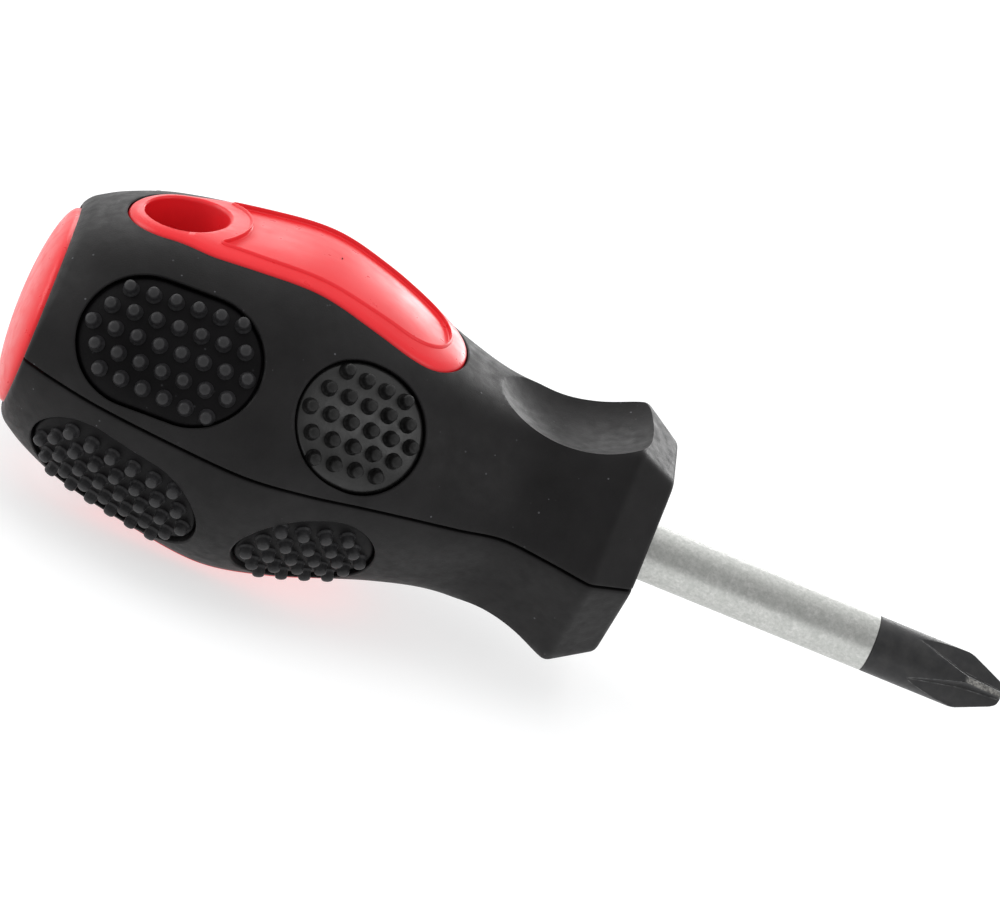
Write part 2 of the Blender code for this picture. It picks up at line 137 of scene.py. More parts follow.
# Edges as (grow, inset) from an outline on the form, where a negative inset is proud of it
PANEL_CROWN = [(-1.6, -0.27), (-0.8, -0.22), (-0.45, -0.15), (-0.2, -0.03), (-0.06, 0.1), (0.0, 0.35)]
RECESS_BEAD = [(0.0, -0.5), (0.1, -0.49), (0.2, -0.43), (0.26, -0.33), (0.3, -0.2), (0.31, 0.5)]
RECESS_WALL = [
    (0.12, -0.54),
    (0.07, -0.46),
    (0.02, -0.36),
    (0.0, -0.2),
    (-0.03, -0.07),
    (-0.1, 0.0),
    (-0.3, 0.04),
]

UPPER_PAD_ANGLE = math.radians(30.0)
LOWER_PAD_ANGLE = math.radians(33.5)
PAD_SINK = 0.45
PAD_BED = 1.6
POCKET_LIP = 0.22
PAD_CLEARANCE = 0.16
PADS = {
    "oval": {
        "centre": 49.1,
        "length": 17.5,
        "width": 12.6,
        "rows": (6, 7, 8, 7, 6),
        "pitch": 2.15,
        "row_pitch": 2.25,
    },
    "round": {
        "centre": 30.1,
        "length": 12.8,
        "width": 12.2,
        "rows": (4, 5, 6, 5, 4),
        "pitch": 2.07,
        "row_pitch": 2.1,
    },
}
PAD_POINTS = 220
PAD_RIM = ((0.3, 0.02), (0.16, 0.05), (0.05, 0.14), (0.0, 0.3))  # (inward, down) of the plate's rounded rim
# Radius and height of a stud from its root to its crown
STUD_PROFILE = [
    (0.8, -0.35),
    (0.8, 0.02),
    (0.68, 0.12),
    (0.62, 0.3),
    (0.6, 0.7),
    (0.53, 0.9),
    (0.4, 1.0),
    (0.2, 1.05),
]
STUD_SIDES = 20

# The bar and its black end
EAR_CENTRE = 26.0
EAR_LENGTH = 7.0
EAR_THICKNESS = 1.8
CONE_LENGTH = 4.0
BLUNT_RADIUS = 1.1
FLUTE_LENGTH = 9.6
FLUTE_HALF_ANGLE = math.radians(58.0)
ROOT_AT_END = 0.6
ROOT_AT_CONE = 1.05
ROOT_ROUND = 0.12
ROOT_BEND = 0.6  # half the length over which the root bends at the cone's rear
WING_ANGLE = math.radians(60.0)
BLADE_SIDES = 96
WORN_EDGE = 0.035
WORN_FROM_ANGLE = math.radians(28.0)

# Rubber: colour, how much dust, how glossy, and how far polishing moves the roughness
RUBBERS = {
    "grip": ((0.0072, 0.0067, 0.0069), 0.5, 0.17, 0.0),
    # The pad and stud rows are one rubber in lit and shaded copies: oval_pad is darkened as painted shade on
    # the pad's floor, and oval_stud is lightened as a painted highlight on the studs
    "oval_pad": ((0.0015, 0.0012, 0.0015), 0.2, 0.12, 0.0),
    "oval_stud": ((0.0120, 0.0115, 0.0125), 0.1, 0.35, 0.0),
    # round_pad is lighter than oval_pad as painted light reflected from the room, and round_stud is darkened
    # as painted shade on the studs
    "round_pad": ((0.0060, 0.0058, 0.0056), 0.2, 0.5, -0.14),
    "round_stud": ((0.0030, 0.0028, 0.0028), 0.1, 0.3, 0.0),
}

# Studio, in metres: a light's name, place, size and power, and if glossy surfaces mirror it
LIGHT_AIM = (-0.05, 0.0, 0.0)
LIGHTS = [
    ("top_light", (-0.05, -0.1, 0.9), 0.7, 2.6, False),
    ("back_light", (-0.3, 0.8, 0.42), 0.5, 1.5, True),
    ("rear_light", (-0.8, 0.1, 0.3), 0.5, 1.6, True),
    ("near_light", (0.52, -0.38, 0.41), 0.3, 0.6, True),
    ("front_light", (0.32, 0.85, 0.12), 0.4, 2.2, True),
]
EVEN_LIGHT = 0.72
ROOM_NEAR, ROOM_FAR = 0.6, 1.6  # how bright the mirrored room is on the near side and behind the tool
FLOOR_REACH = 1500.0
FLOOR_GLOW = 0.62

# Camera, in degrees and millimetres
CAMERA_TURN = (-6.5, 24.0, 24.93)  # azimuth, elevation and roll
CAMERA_TARGET = (-52.0, 0.0, 0.0)
CAMERA_DISTANCE = 600.0
CAMERA_SLIDE = (-0.162, 4.0375)  # sideways and upward
CAMERA_LENS = 226.8


# ---------------------------------------------------------------- the handle's form


def section_value(column, u):
    """A value of the section list at u, straight along the bolster's chamfer and smooth behind it."""
    place, value = SECTIONS[:, 0], SECTIONS[:, column]
    last = len(place) - 1
    index = np.arange(1, last + 1)
    low, high = np.maximum(index - 1, 1), np.minimum(index + 1, last)
    slope = np.concatenate([[0.0], (value[high] - value[low]) / (place[high] - place[low])])
    u = np.clip(u, 0.0, place[-1])
    i = np.clip(np.searchsorted(place, u, side="right") - 1, 0, last - 1)
    span = place[i + 1] - place[i]
    t = (u - place[i]) / span
    smooth = (
        (2 * t**3 - 3 * t**2 + 1) * value[i]
        + (t**3 - 2 * t**2 + t) * slope[i] * span
        + (3 * t**2 - 2 * t**3) * value[i + 1]
        + (t**3 - t**2) * slope[i + 1] * span
    )
    return np.where(i == 0, value[i] + (value[i + 1] - value[i]) * t, smooth)


def hexagon_radius(angle, sharpness):
    """Radius of a soft hexagon with flats at 30, 90, 150 degrees and so on, and corners at radius 1."""
    flats = np.radians(30 + 60 * np.arange(6))
    power = np.asarray(sharpness)[..., None]
    toward = np.maximum(np.cos(np.asarray(angle)[..., None] - flats), 0.0)
    reach = (toward**power).sum(-1)
    corner = 2 * math.cos(math.radians(30)) ** np.asarray(sharpness)
    return (reach / corner) ** (-1 / np.asarray(sharpness))


def surface(u, angle, inset=0.0):
    """Points of the outer form, moved in by inset. Arrays of u, angle and inset go together."""
    u, angle = np.asarray(u, float), np.asarray(angle, float)
    spread = u[..., None] + EDGE_SOFTNESS
    half_width, half_height = (section_value(column, spread).mean(-1) for column in (1, 2))
    sharpness = section_value(3, u)
    flat = hexagon_radius(np.full(u.shape, math.pi / 2), sharpness)
    radius = hexagon_radius(angle, sharpness)
    y = (half_width - inset / flat) * radius * np.cos(angle)
    z = (half_height - inset / flat) * radius * np.sin(angle)
    return np.stack(np.broadcast_arrays(FACE_X - u, y, z), -1)


def full_angles(count):
    return math.tau * np.arange(count) / count


def patch_on(u, angle):
    """A flat view onto the form at that place: "across" runs around it, at right angles to X."""
    middle = surface(u, angle)[1:]
    along = surface(u, angle + 0.02)[1:] - surface(u, angle - 0.02)[1:]
    return {"angle": angle, "middle": middle, "along": along / np.linalg.norm(along)}


def on_form(patch, outline, inset):
    """Moves a flat outline (u, across) straight onto the form, in by inset."""
    sweep = patch["angle"] + np.radians(np.linspace(-60, 60, 241))
    u, across = outline[:, 0], outline[:, 1]
    tried = surface(u[:, None], sweep[None, :], inset)[..., 1:]
    reached = (tried - patch["middle"]) @ patch["along"]
    angle = np.array([np.interp(t, row, sweep) for t, row in zip(across, reached)])
    return surface(u, angle, inset)


# ---------------------------------------------------------------- outlines


def resample(points, count):
    """The closed outline again, with its points evenly spaced."""
    closed = np.vstack([points, points[:1]])
    run = np.concatenate([[0.0], np.cumsum(np.linalg.norm(np.diff(closed, axis=0), axis=1))])
    wanted = np.linspace(0.0, run[-1], count, endpoint=False)
    return np.stack([np.interp(wanted, run, closed[:, k]) for k in (0, 1)], -1)


def soften(points, passes):
    """Averages each point of a closed outline with its neighbours."""
    for _ in range(passes):
        points = points / 2 + (np.roll(points, 1, 0) + np.roll(points, -1, 0)) / 4
    return points


def offset(points, grow):
    """Moves a closed outline out by grow, along its normals."""
    ahead, behind = np.roll(points, -1, 0), np.roll(points, 1, 0)
    along = ahead - behind
    along /= np.linalg.norm(along, axis=1)[:, None]
    area = (points[:, 0] * ahead[:, 1] - ahead[:, 0] * points[:, 1]).sum()
    outward = np.stack([along[:, 1], -along[:, 0]], -1) * math.copysign(1.0, area)
    return points + outward * grow


def smooth_side(front, side_points, steps=16):
    """Points of a curve that leaves the front point sideways and runs through side_points."""
    knots = [np.array((front, 0.0)), *(np.array(p) for p in reversed(side_points))]
    chain = [knots[1] * (1, -1), *knots, knots[-1] * 2 - knots[-2]]
    made = []
    for a, b, c, d in zip(chain, chain[1:], chain[2:], chain[3:]):
        for t in np.linspace(0.0, 1.0, steps, endpoint=False):
            bend = (2 * a - 5 * b + 4 * c - d) * t**2 + (3 * b - 3 * c + d - a) * t**3
            made.append((2 * b + (c - a) * t + bend) / 2)
    return [*made, chain[-2]]


def hole_arc(radius, start, end, steps=24):
    """Arc about the hanging hole. Angles are in degrees from the handle's rear, towards the side."""
    turns = np.radians(np.linspace(start, end, steps))
    return [np.array((HOLE_CENTRE + radius * math.cos(a), radius * math.sin(a))) for a in turns]


def mirrored(half, count, passes):
    """A closed outline from its half with across above zero."""
    whole = np.array([*half, *(p * (1, -1) for p in reversed(half))])
    return soften(resample(whole, count), passes)


def panel_outline():
    half = smooth_side(PANEL_FRONT, PANEL_OUTLINE) + hole_arc(PANEL_REAR_RADIUS, 90, 0)
    return mirrored(half, PANEL_POINTS, passes=24)


def recess_outline():
    corner = math.degrees(math.asin(RECESS_OUTLINE[0][1] / RECESS_REAR_RADIUS))
    rear = hole_arc(RECESS_REAR_RADIUS, 180 - corner, 180)[1:]
    return mirrored(smooth_side(RECESS_FRONT, RECESS_OUTLINE) + rear, RECESS_POINTS, passes=3)


def hole_outline():
    angle = full_angles(128)
    return np.stack([HOLE_CENTRE + HOLE_RADIUS * np.cos(angle), HOLE_RADIUS * np.sin(angle)], -1)


def stadium(pad):
    """An oval of two half circles and straight sides."""
    radius = pad["width"] / 2
    straight = (pad["length"] - pad["width"]) / 2
    turn = np.linspace(-math.pi / 2, math.pi / 2, 60)
    end = np.stack([straight + radius * np.cos(turn), radius * np.sin(turn)], -1)
    return resample(np.vstack([end, -end]), PAD_POINTS) + (pad["centre"], 0.0)


# ---------------------------------------------------------------- meshes


def make_object(name, points, faces, material=None):
    """An object from points in millimetres."""
    mesh = bpy.data.meshes.new(name)
    mesh.from_pydata([tuple(p) for p in np.asarray(points) * MM], [], faces)
    bm = bmesh.new()
    bm.from_mesh(mesh)
    bmesh.ops.recalc_face_normals(bm, faces=bm.faces)
    bm.to_mesh(mesh)
    bm.free()
    if material:
        mesh.materials.append(material)
    made = bpy.data.objects.new(name, mesh)
    bpy.context.scene.collection.objects.link(made)
    return made


def loft(name, rings, material=None):
    """A closed skin over rings that have the same number of points."""
    around = len(rings[0])
    faces = []
    for i in range(len(rings) - 1):
        a, b = i * around, (i + 1) * around
        for k in range(around):
            n = (k + 1) % around
            faces.append((a + k, a + n, b + n, b + k))
    faces.append(tuple(range(around)))
    faces.append(tuple(range((len(rings) - 1) * around, len(rings) * around)))
    return make_object(name, np.concatenate(rings), faces, material)


def apply_modifiers(target):
    """Puts the result of an object's modifiers in its mesh, without doubled points."""
    graph = bpy.context.evaluated_depsgraph_get()
    made = bpy.data.meshes.new_from_object(target.evaluated_get(graph))
    target.modifiers.clear()
    bm = bmesh.new()
    bm.from_mesh(made)
    bmesh.ops.remove_doubles(bm, verts=bm.verts, dist=WELD * MM)
    bmesh.ops.dissolve_degenerate(bm, edges=bm.edges, dist=WELD / 2 * MM)
    bm.to_mesh(made)
    bm.free()
    target.data = made


def carve(target, *steps):
    """Joins or cuts with each helper mesh in turn, and then removes the helpers."""
    for operation, helper in steps:
        modifier = target.modifiers.new(helper.name, "BOOLEAN")
        modifier.operation = operation
        modifier.object = helper
        modifier.solver = "MANIFOLD"
        modifier.material_mode = "TRANSFER" if helper.data.materials else "INDEX"
    apply_modifiers(target)
    for _, helper in steps:
        bpy.data.objects.remove(helper)


def finish_piece(piece, slot, *nodes, crease=32.0):
    """Smooth shading with crisp edges; hangs the piece on the root body and hides the CAD nodes it stands
    for.
    """
    piece.data.shade_smooth()
    piece.data.set_sharp_from_angle(angle=math.radians(crease))
    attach(piece, "root")
    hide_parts(*nodes)
    return piece


# ---------------------------------------------------------------- patches on the form


def closing_rings(patch, outline, inset):
    """Ever smaller copies of an outline, which close a patch with the form's own curve."""
    centre = (outline.min(0) + outline.max(0)) / 2
    shares = (0.9, 0.78, 0.66, 0.54, 0.42, 0.3, 0.18, 0.06)
    return [on_form(patch, centre + (outline - centre) * share, inset) for share in shares]


def patch_solid(name, patch, outline, profile, material=None):
    """A solid whose outline follows the form. The profile lists (grow, inset) from outside in."""
    sides = [(offset(outline, grow), inset) for grow, inset in profile]
    rings = closing_rings(patch, *sides[0])[::-1]
    rings += [on_form(patch, ring, inset) for ring, inset in sides]
    rings += closing_rings(patch, *sides[-1])
    return loft(name, rings, material)


def lip_profile(radius, depth, level=0.0):
    """Profile of a cutter that leaves a rounded edge: outside the surface, the rounding, the wall."""
    rounding = [
        (radius * (1 - math.cos(a)), level + radius * (1 - math.sin(a)))
        for a in np.radians(np.linspace(80, 0, 6))
    ]
    return [(radius * 1.02, -CLEAR), (radius * 1.02, level - 0.12 * radius), *rounding, (0.0, depth)]


# ---------------------------------------------------------------- soft halves


def form_rings(stations, inset, angles, carried=0.0):
    """Sections of the form at those stations. The last one is repeated further to the rear."""
    rings = [surface(u, angles, inset) for u in stations]
    if carried:
        rings.append(rings[-1] - (carried, 0.0, 0.0))
    return rings


def half_angles(u):
    """Angles of an upper half's section, from just above the seam on one side to the other."""
    start = math.asin((SEAM_GAP / 2 + SEAM_LIP) / section_value(2, u))
    return np.linspace(start, math.pi - start, AROUND)


def half_rings():
    """Sections of an upper half, with rounded front and rear edges."""
    rings = []
    for turn in np.radians(np.linspace(0, 75, 6)):
        u = FRONT_ROUND * (1 - math.cos(turn))
        rings.append(with_lips(surface(u, half_angles(u), FRONT_ROUND * (1 - math.sin(turn)))))
    near_edge = np.arange(CHAMFER - 0.8, CHAMFER + 0.8, 0.1)
    before = np.arange(FRONT_ROUND, near_edge[0] - STEP / 2, STEP)
    behind = np.arange(near_edge[-1] + STEP / 2, GRIP_LENGTH - REAR_ROUND[1] - STEP / 2, STEP)
    rings += [with_lips(surface(u, half_angles(u))) for u in (*before, *near_edge, *behind)]
    angles = half_angles(GRIP_LENGTH)
    radius = REAR_ROUND[0] + (REAR_ROUND[1] - REAR_ROUND[0]) * np.sin(angles) ** 2
    for turn in np.radians(np.linspace(0, 90, 8)):
        u = GRIP_LENGTH - radius * (1 - math.sin(turn))
        rings.append(with_lips(surface(u, angles, radius * (1 - math.cos(turn)))))
    return rings


def with_lips(arc):
    """Adds the rounded edges along the seam to a half section."""
    lips = []
    turn = np.radians((18, 36, 54, 72, 90))
    for x, y, z in (arc[0], arc[-1]):
        drop = z - SEAM_GAP / 2
        centre = y - math.copysign(drop, y)
        lip_y = centre + math.copysign(drop, y) * np.cos(turn)
        lips.append(np.stack([np.full(len(turn), x), lip_y, z - drop * np.sin(turn)], -1))
    return np.vstack([lips[0][::-1], arc, lips[1]])


def section_angle(side, half):
    """A pad's angle about X. Side is +1 for +Y, and half is +1 for the upper pads."""
    elevation = UPPER_PAD_ANGLE if half > 0 else -LOWER_PAD_ANGLE
    return elevation if side > 0 else math.pi - elevation


def scoop_cutter(half):
    turn, rise = full_angles(200), np.linspace(-math.pi / 2, math.pi / 2, 121)[1:-1]
    centre = np.array((FACE_X - SCOOP_CENTRE, 0.0, half * SCOOP_HEIGHT))
    rings = []
    for r in rise:
        x = np.full(turn.shape, math.sin(r))
        ball = np.stack([x, math.cos(r) * np.cos(turn), math.cos(r) * np.sin(turn)], -1)
        rings.append(centre + ball * SCOOP_RADII)
    return loft(f"scoop_{half}", rings)


def round_bar(name, radius, x_front, x_back):
    angle = full_angles(64)
    ring = np.stack([np.zeros(len(angle)), radius * np.cos(angle), radius * np.sin(angle)], -1)
    return loft(name, [ring + (x_front, 0, 0), ring + (x_back, 0, 0)])


def make_grip(half, material):
    """One soft half with its scoop, pad pockets and panel window. Half is +1 for the upper one."""
    name = "grip_upper" if half > 0 else "grip_lower"
    grip = loft(f"{name}_skin", [ring * (1.0, 1.0, half) for ring in half_rings()], material)
    angles = full_angles(HIDDEN_AROUND)
    stations = np.arange(FRONT_WALL, GRIP_LENGTH, HIDDEN_STEP)
    core_space = loft("core_space", form_rings(stations, GRIP_WALL, angles, carried=CLEAR))
    cap_stations = (CAP_BASE - GAP, *CAP_SPACE_SECTIONS, GRIP_LENGTH)
    cap_space = loft("cap_space", form_rings(cap_stations, REAR_LIP, full_angles(AROUND), carried=CLEAR))
    shank_space = round_bar("shank_space", SHANK_RADIUS + GAP, FACE_X + CLEAR, FACE_X - CLEAR)
    panel = patch_on(PANEL_MIDDLE, half * math.pi / 2)
    window_edge = lip_profile(POCKET_LIP, PANEL_DEPTH)
    window = patch_solid("window", panel, offset(panel_outline(), PANEL_GAP), window_edge)
    cutters = [core_space, cap_space, shank_space, window, scoop_cutter(half)]
    for pad_name, pad in PADS.items():
        for side in (1, -1):
            place = patch_on(pad["centre"], section_angle(side, half))
            profile = lip_profile(POCKET_LIP, PAD_BED)
            cutters.append(patch_solid(f"{pad_name}_pocket_{side}", place, stadium(pad), profile))
    carve(grip, *(("DIFFERENCE", cutter) for cutter in cutters))
    finish_piece(grip, "black_grip", name)


# ---------------------------------------------------------------- pads


def stud_points(u, angle):
    """Rings of one stud, standing on the pad's floor along the surface's normal."""
    here = surface(u, angle, PAD_SINK)
    along = surface(u + 0.2, angle, PAD_SINK) - surface(u - 0.2, angle, PAD_SINK)
    around = surface(u, angle + 0.01, PAD_SINK) - surface(u, angle - 0.01, PAD_SINK)
    up = np.cross(along, around)
    up /= np.linalg.norm(up)
    if up @ (0.0, here[1], here[2]) < 0:
        up = -up
    first = along / np.linalg.norm(along)
    second = np.cross(up, first)
    turn = full_angles(STUD_SIDES)[:, None]
    return [here + up * h + r * (first * np.cos(turn) + second * np.sin(turn)) for r, h in STUD_PROFILE]


def stud_set(name, pad, side, half, material):
    """All of a pad's studs, in staggered rows, as separate closed bodies of one helper."""
    facet = section_angle(side, half)
    arc = surface(pad["centre"], facet + 0.02) - surface(pad["centre"], facet - 0.02)
    row_turn = pad["row_pitch"] * 0.04 / np.linalg.norm(arc)
    middle = (len(pad["rows"]) - 1) / 2
    points, faces = [], []
    for row, count in enumerate(pad["rows"]):
        for k in range(count):
            u = pad["centre"] + (k - (count - 1) / 2) * pad["pitch"]
            rings = stud_points(u, facet + (row - middle) * row_turn)
            base = sum(len(p) for p in points)
            points += rings
            n = STUD_SIDES
            for i in range(len(rings) - 1):
                a, b = base + i * n, base + (i + 1) * n
                faces += [(a + j, a + (j + 1) % n, b + (j + 1) % n, b + j) for j in range(n)]
            faces.append(tuple(range(base, base + n)))
            faces.append(tuple(range(base + (len(rings) - 1) * n, base + len(rings) * n)))
    return make_object(f"{name}_studs", np.concatenate(points), faces, material)


def make_pad(pad_name, pad, side, half, material, stud_material):
    """One studded pad, joined into a single skin."""
    words = (pad_name, "pad", "upper" if half > 0 else "lower", "right" if side > 0 else "left")
    node = "_".join(words)
    place = patch_on(pad["centre"], section_angle(side, half))
    profile = [(-PAD_CLEARANCE - inward, PAD_SINK + down) for inward, down in PAD_RIM]
    profile.append((-PAD_CLEARANCE, PAD_BED - GAP))
    plate = patch_solid(f"{node}_rubber", place, stadium(pad), profile, material)
    carve(plate, ("UNION", stud_set(node, pad, side, half, stud_material)))
    finish_piece(plate, "black_pad", node, crease=50.0)


# ---------------------------------------------------------------- red core and cap


def hole_cutter():
    """The hanging hole, flared at both panels."""
    outline = hole_outline()
    panel = patch_on(PANEL_MIDDLE, math.pi / 2)
    profile = lip_profile(HOLE_LIP, HOLE_WALL, level=HOLE_LEVEL)
    sides = [on_form(panel, offset(outline, grow), inset) for grow, inset in profile]
    upper = closing_rings(panel, offset(outline, profile[0][0]), profile[0][1])[::-1] + sides
    lower = [ring * (1, 1, -1) for ring in upper]
    return loft("hanging_hole", upper + lower[::-1])


def make_core(material):
    """The red plug with its two panels, each with a beaded recess, and the hanging hole."""
    angles = full_angles(HIDDEN_AROUND)
    stations = np.append(np.arange(FRONT_WALL + GAP, CAP_BASE - 1.0, HIDDEN_STEP), CORE_REAR)
    core = loft("core_red", form_rings(stations, GRIP_WALL + GAP, angles), material)
    places = {half: patch_on(PANEL_MIDDLE, half * math.pi / 2) for half in (1, -1)}
    panel_edge = [*PANEL_CROWN, (0.0, PANEL_DEPTH)]
    recess_edge = [(RECESS_WALL[0][0], -CLEAR), *RECESS_WALL]
    steps = []
    for half, place in places.items():
        steps.append(("UNION", patch_solid(f"panel_{half}", place, panel_outline(), panel_edge)))
        steps.append(("UNION", patch_solid(f"bead_{half}", place, recess_outline(), RECESS_BEAD)))
    for half, place in places.items():
        recess = patch_solid(f"recess_{half}", place, recess_outline(), recess_edge)
        steps.append(("DIFFERENCE", recess))
    steps.append(("DIFFERENCE", hole_cutter()))
    steps.append(("DIFFERENCE", round_bar("socket", SHANK_RADIUS + GAP, FACE_X + CLEAR, TANG_X - GAP)))
    carve(core, *steps)
    finish_piece(core, "red_plastic", "handle_core")


def make_cap(material):
    """The low dome at the rear."""
    angles = full_angles(AROUND)
    inset = REAR_LIP + GAP
    rings = [surface(u, angles, inset) for u in np.linspace(CAP_BASE, GRIP_LENGTH, 8)]
    rim = rings[-1]
    for rise in np.radians(np.linspace(2, 88, 40)):
        shrink = (1.0, math.cos(rise), math.cos(rise))
        rings.append(rim * shrink - (CAP_DOME * math.sin(rise), 0, 0))
    finish_piece(loft("cap_red", rings, material), "red_plastic", "end_cap")


# ---------------------------------------------------------------- blade


def block(name, centre, size):
    corners = np.array([(x, y, z) for x in (-0.5, 0.5) for y in (-0.5, 0.5) for z in (-0.5, 0.5)])
    faces = [(0, 1, 3, 2), (4, 6, 7, 5), (0, 4, 5, 1), (2, 3, 7, 6), (0, 2, 6, 4), (1, 5, 7, 3)]
    return make_object(name, corners * size + centre, faces)


def blade_ring():
    """A circle of radius 1 about X."""
    angle = full_angles(BLADE_SIDES)
    return np.stack([np.zeros(BLADE_SIDES), np.cos(angle), np.sin(angle)], -1)


def make_shank(material):
    """The chromed bar, from a fine line behind the black end, and the tang with its ears."""
    line = 0.01
    ring = blade_ring()
    rings = [ring * (SHANK_RADIUS - 0.04) + (TIP_X - line, 0, 0)]
    for x in (TIP_X - line - 0.03, *np.linspace(TIP_X - 0.2, TANG_X + 0.2, 60), TANG_X):
        rings.append(ring * (SHANK_RADIUS if x < TIP_X - 0.1 else SHANK_RADIUS - 0.01) + (x, 0, 0))
    shank = loft("shank_chrome", rings, material)
    ears = block("ears", (FACE_X - EAR_CENTRE, 0, 0), (EAR_LENGTH, EAR_SPAN, EAR_THICKNESS))
    carve(shank, ("UNION", ears))
    finish_piece(shank, "satin_chrome", "shank")


def flute_cutter(number, material):
    """A V-shaped groove with a rounded root that climbs slowly along the cone and faster behind it."""
    run_out = (SHANK_RADIUS - ROOT_AT_CONE) / (FLUTE_LENGTH - CONE_LENGTH)
    beyond = 2.0
    roots = [(beyond, ROOT_AT_END), (0.0, ROOT_AT_END)]
    for back in (0.0, 0.4, 0.8, 1.2):
        climbed = max(0.0, back - ROOT_BEND) * run_out * 0.85
        to_climb = max(0.0, ROOT_BEND - back) * 0.11
        roots.append((-CONE_LENGTH + ROOT_BEND - back, ROOT_AT_CONE + climbed - to_climb + 0.03))
    roots.append((-FLUTE_LENGTH - beyond, SHANK_RADIUS + run_out * beyond))
    height = 2 * SHANK_RADIUS
    side = height * math.tan(FLUTE_HALF_ANGLE)
    turn = Matrix.Rotation(WING_ANGLE + math.pi / 4 + number * math.pi / 2, 3, "X")
    shoulder = ROOT_ROUND * 0.55
    root_round = [(-ROOT_ROUND, shoulder), (0.0, 0.02), (ROOT_ROUND, shoulder)]
    profile = [(-side, height), *root_round, (side, height)]
    rings = []
    for x, root in roots:
        rings.append(np.array([turn @ Vector((x, y, root + z)) for y, z in profile]))
    return loft(f"flute_{number}", rings, material)


def make_tip(material, ground, worn):
    """The black end: a rounded blunt point, a cone and a bar, with four flutes and worn edges."""
    ring = blade_ring()
    blunt = [(0.0, -0.42), (-0.05, -0.22), (-0.16, -0.06), (-0.34, 0.08)]
    stations = [(x, BLUNT_RADIUS + wider) for x, wider in blunt]
    for x in np.linspace(-0.6, -CONE_LENGTH + 0.3, 8):
        stations.append((x, BLUNT_RADIUS + (SHANK_RADIUS - BLUNT_RADIUS) * -x / CONE_LENGTH))
    stations += [(-CONE_LENGTH - 0.02, SHANK_RADIUS - 0.05), (-CONE_LENGTH - 0.35, SHANK_RADIUS)]
    stations += [(x, SHANK_RADIUS) for x in np.linspace(-CONE_LENGTH - 0.8, TIP_X + 0.2, 20)]
    stations += [(TIP_X + 0.04, SHANK_RADIUS - 0.01), (TIP_X + 0.01, SHANK_RADIUS - 0.04)]
    tip = loft("tip_black", [ring * (1, radius, radius) + (x, 0, 0) for x, radius in stations], material)
    carve(tip, *(("DIFFERENCE", flute_cutter(k, ground)) for k in range(4)))
    bevel = tip.modifiers.new("worn_edges", "BEVEL")
    bevel.width = WORN_EDGE * MM
    bevel.segments = 2
    bevel.material = len(tip.data.materials)
    bevel.limit_method = "ANGLE"
    bevel.angle_limit = WORN_FROM_ANGLE
    bevel.use_clamp_overlap = False
    tip.data.materials.append(worn)
    apply_modifiers(tip)
    for face in tip.data.polygons:  # the edge at the chromed bar isn't worn
        if face.center.x < (TIP_X + 0.5) * MM:
            face.material_index = 0
    finish_piece(tip, "blackened_steel", "blade_tip", crease=35.0)


# ---------------------------------------------------------------- materials


class Finish:
    """A node material on the Principled shader, with textures in millimetres of the row frame."""

    def __init__(self, name, colour, **sockets):
        self.material = bpy.data.materials.new(name)
        self.material.use_nodes = True
        self.tree = self.material.node_tree
        self.shader = self.tree.nodes["Principled BSDF"]
        self.shader.inputs["Base Color"].default_value = (*colour, 1.0)
        for socket, value in sockets.items():
            self.shader.inputs[socket.replace("_", " ")].default_value = value
        self.material.diffuse_color = (*colour, 1.0)
        place = self.add("ShaderNodeTexCoord")
        scale = (1 / MM, 1 / MM, 1 / MM)
        self.millimetres = self.add("ShaderNodeMapping", Vector=place.outputs["Object"], Scale=scale)

    def add(self, kind, settings=None, **inputs):
        """A new node. In an input's name, _ stands for a space."""
        node = self.tree.nodes.new(kind)
        for key, value in (settings or {}).items():
            setattr(node, key, value)
        for key, value in inputs.items():
            self.feed(node.inputs[key.replace("_", " ")], value)
        return node

    def feed(self, socket, value):
        if isinstance(value, bpy.types.NodeSocket):
            self.tree.links.new(value, socket)
        else:
            socket.default_value = value

    def noise(self, scale, detail=3.0, roughness=0.55, stretch=None):
        """Soft noise, with scale in cells per millimetre."""
        where = self.millimetres.outputs[0]
        if stretch:
            where = self.add("ShaderNodeMapping", Vector=where, Scale=stretch).outputs[0]
        values = {"Vector": where, "Scale": scale, "Detail": detail, "Roughness": roughness}
        return self.add("ShaderNodeTexNoise", **values).outputs["Fac"]

    def spots(self, scale, size, softness=0.02):
        """One where the small cells of a cell pattern have their middles, and zero elsewhere."""
        where = self.millimetres.outputs[0]
        cells = self.add("ShaderNodeTexVoronoi", Vector=where, Scale=scale, Randomness=1.0)
        return self.span(cells.outputs["Distance"], size, size + softness, 1.0, 0.0)

    def span(self, value, low, high, to_low, to_high):
        """Maps low to to_low and high to to_high, and holds there outside them."""
        node = self.add("ShaderNodeMapRange", Value=value)
        for key, number in (("From Min", low), ("From Max", high), ("To Min", to_low), ("To Max", to_high)):
            node.inputs[key].default_value = number
        return node.outputs["Result"]

    def times(self, a, b):
        node = self.add("ShaderNodeMath", {"operation": "MULTIPLY"})
        self.feed(node.inputs[0], a)
        self.feed(node.inputs[1], b)
        return node.outputs[0]

    def mix(self, share, a, b):
        """A colour between a, at no share, and b, at full share."""
        node = self.add("ShaderNodeMix", {"data_type": "RGBA"})
        self.feed(node.inputs["Factor"], share)
        for index, value in ((6, a), (7, b)):
            if isinstance(value, tuple):
                value = (*value, 1.0)
            self.feed(node.inputs[index], value)
        return node.outputs[2]

    def colour(self, value):
        self.feed(self.shader.inputs["Base Color"], value)

    def roughness(self, value):
        self.feed(self.shader.inputs["Roughness"], value)

    def bump(self, *layers):
        """Layers of (height, strength, distance in millimetres), the coarsest first."""
        normal = None
        for height, strength, distance in layers:
            node = self.add("ShaderNodeBump", Height=height, Strength=strength, Distance=distance * MM)
            if normal is not None:
                self.feed(node.inputs["Normal"], normal)
            normal = node.outputs["Normal"]
        self.feed(self.shader.inputs["Normal"], normal)


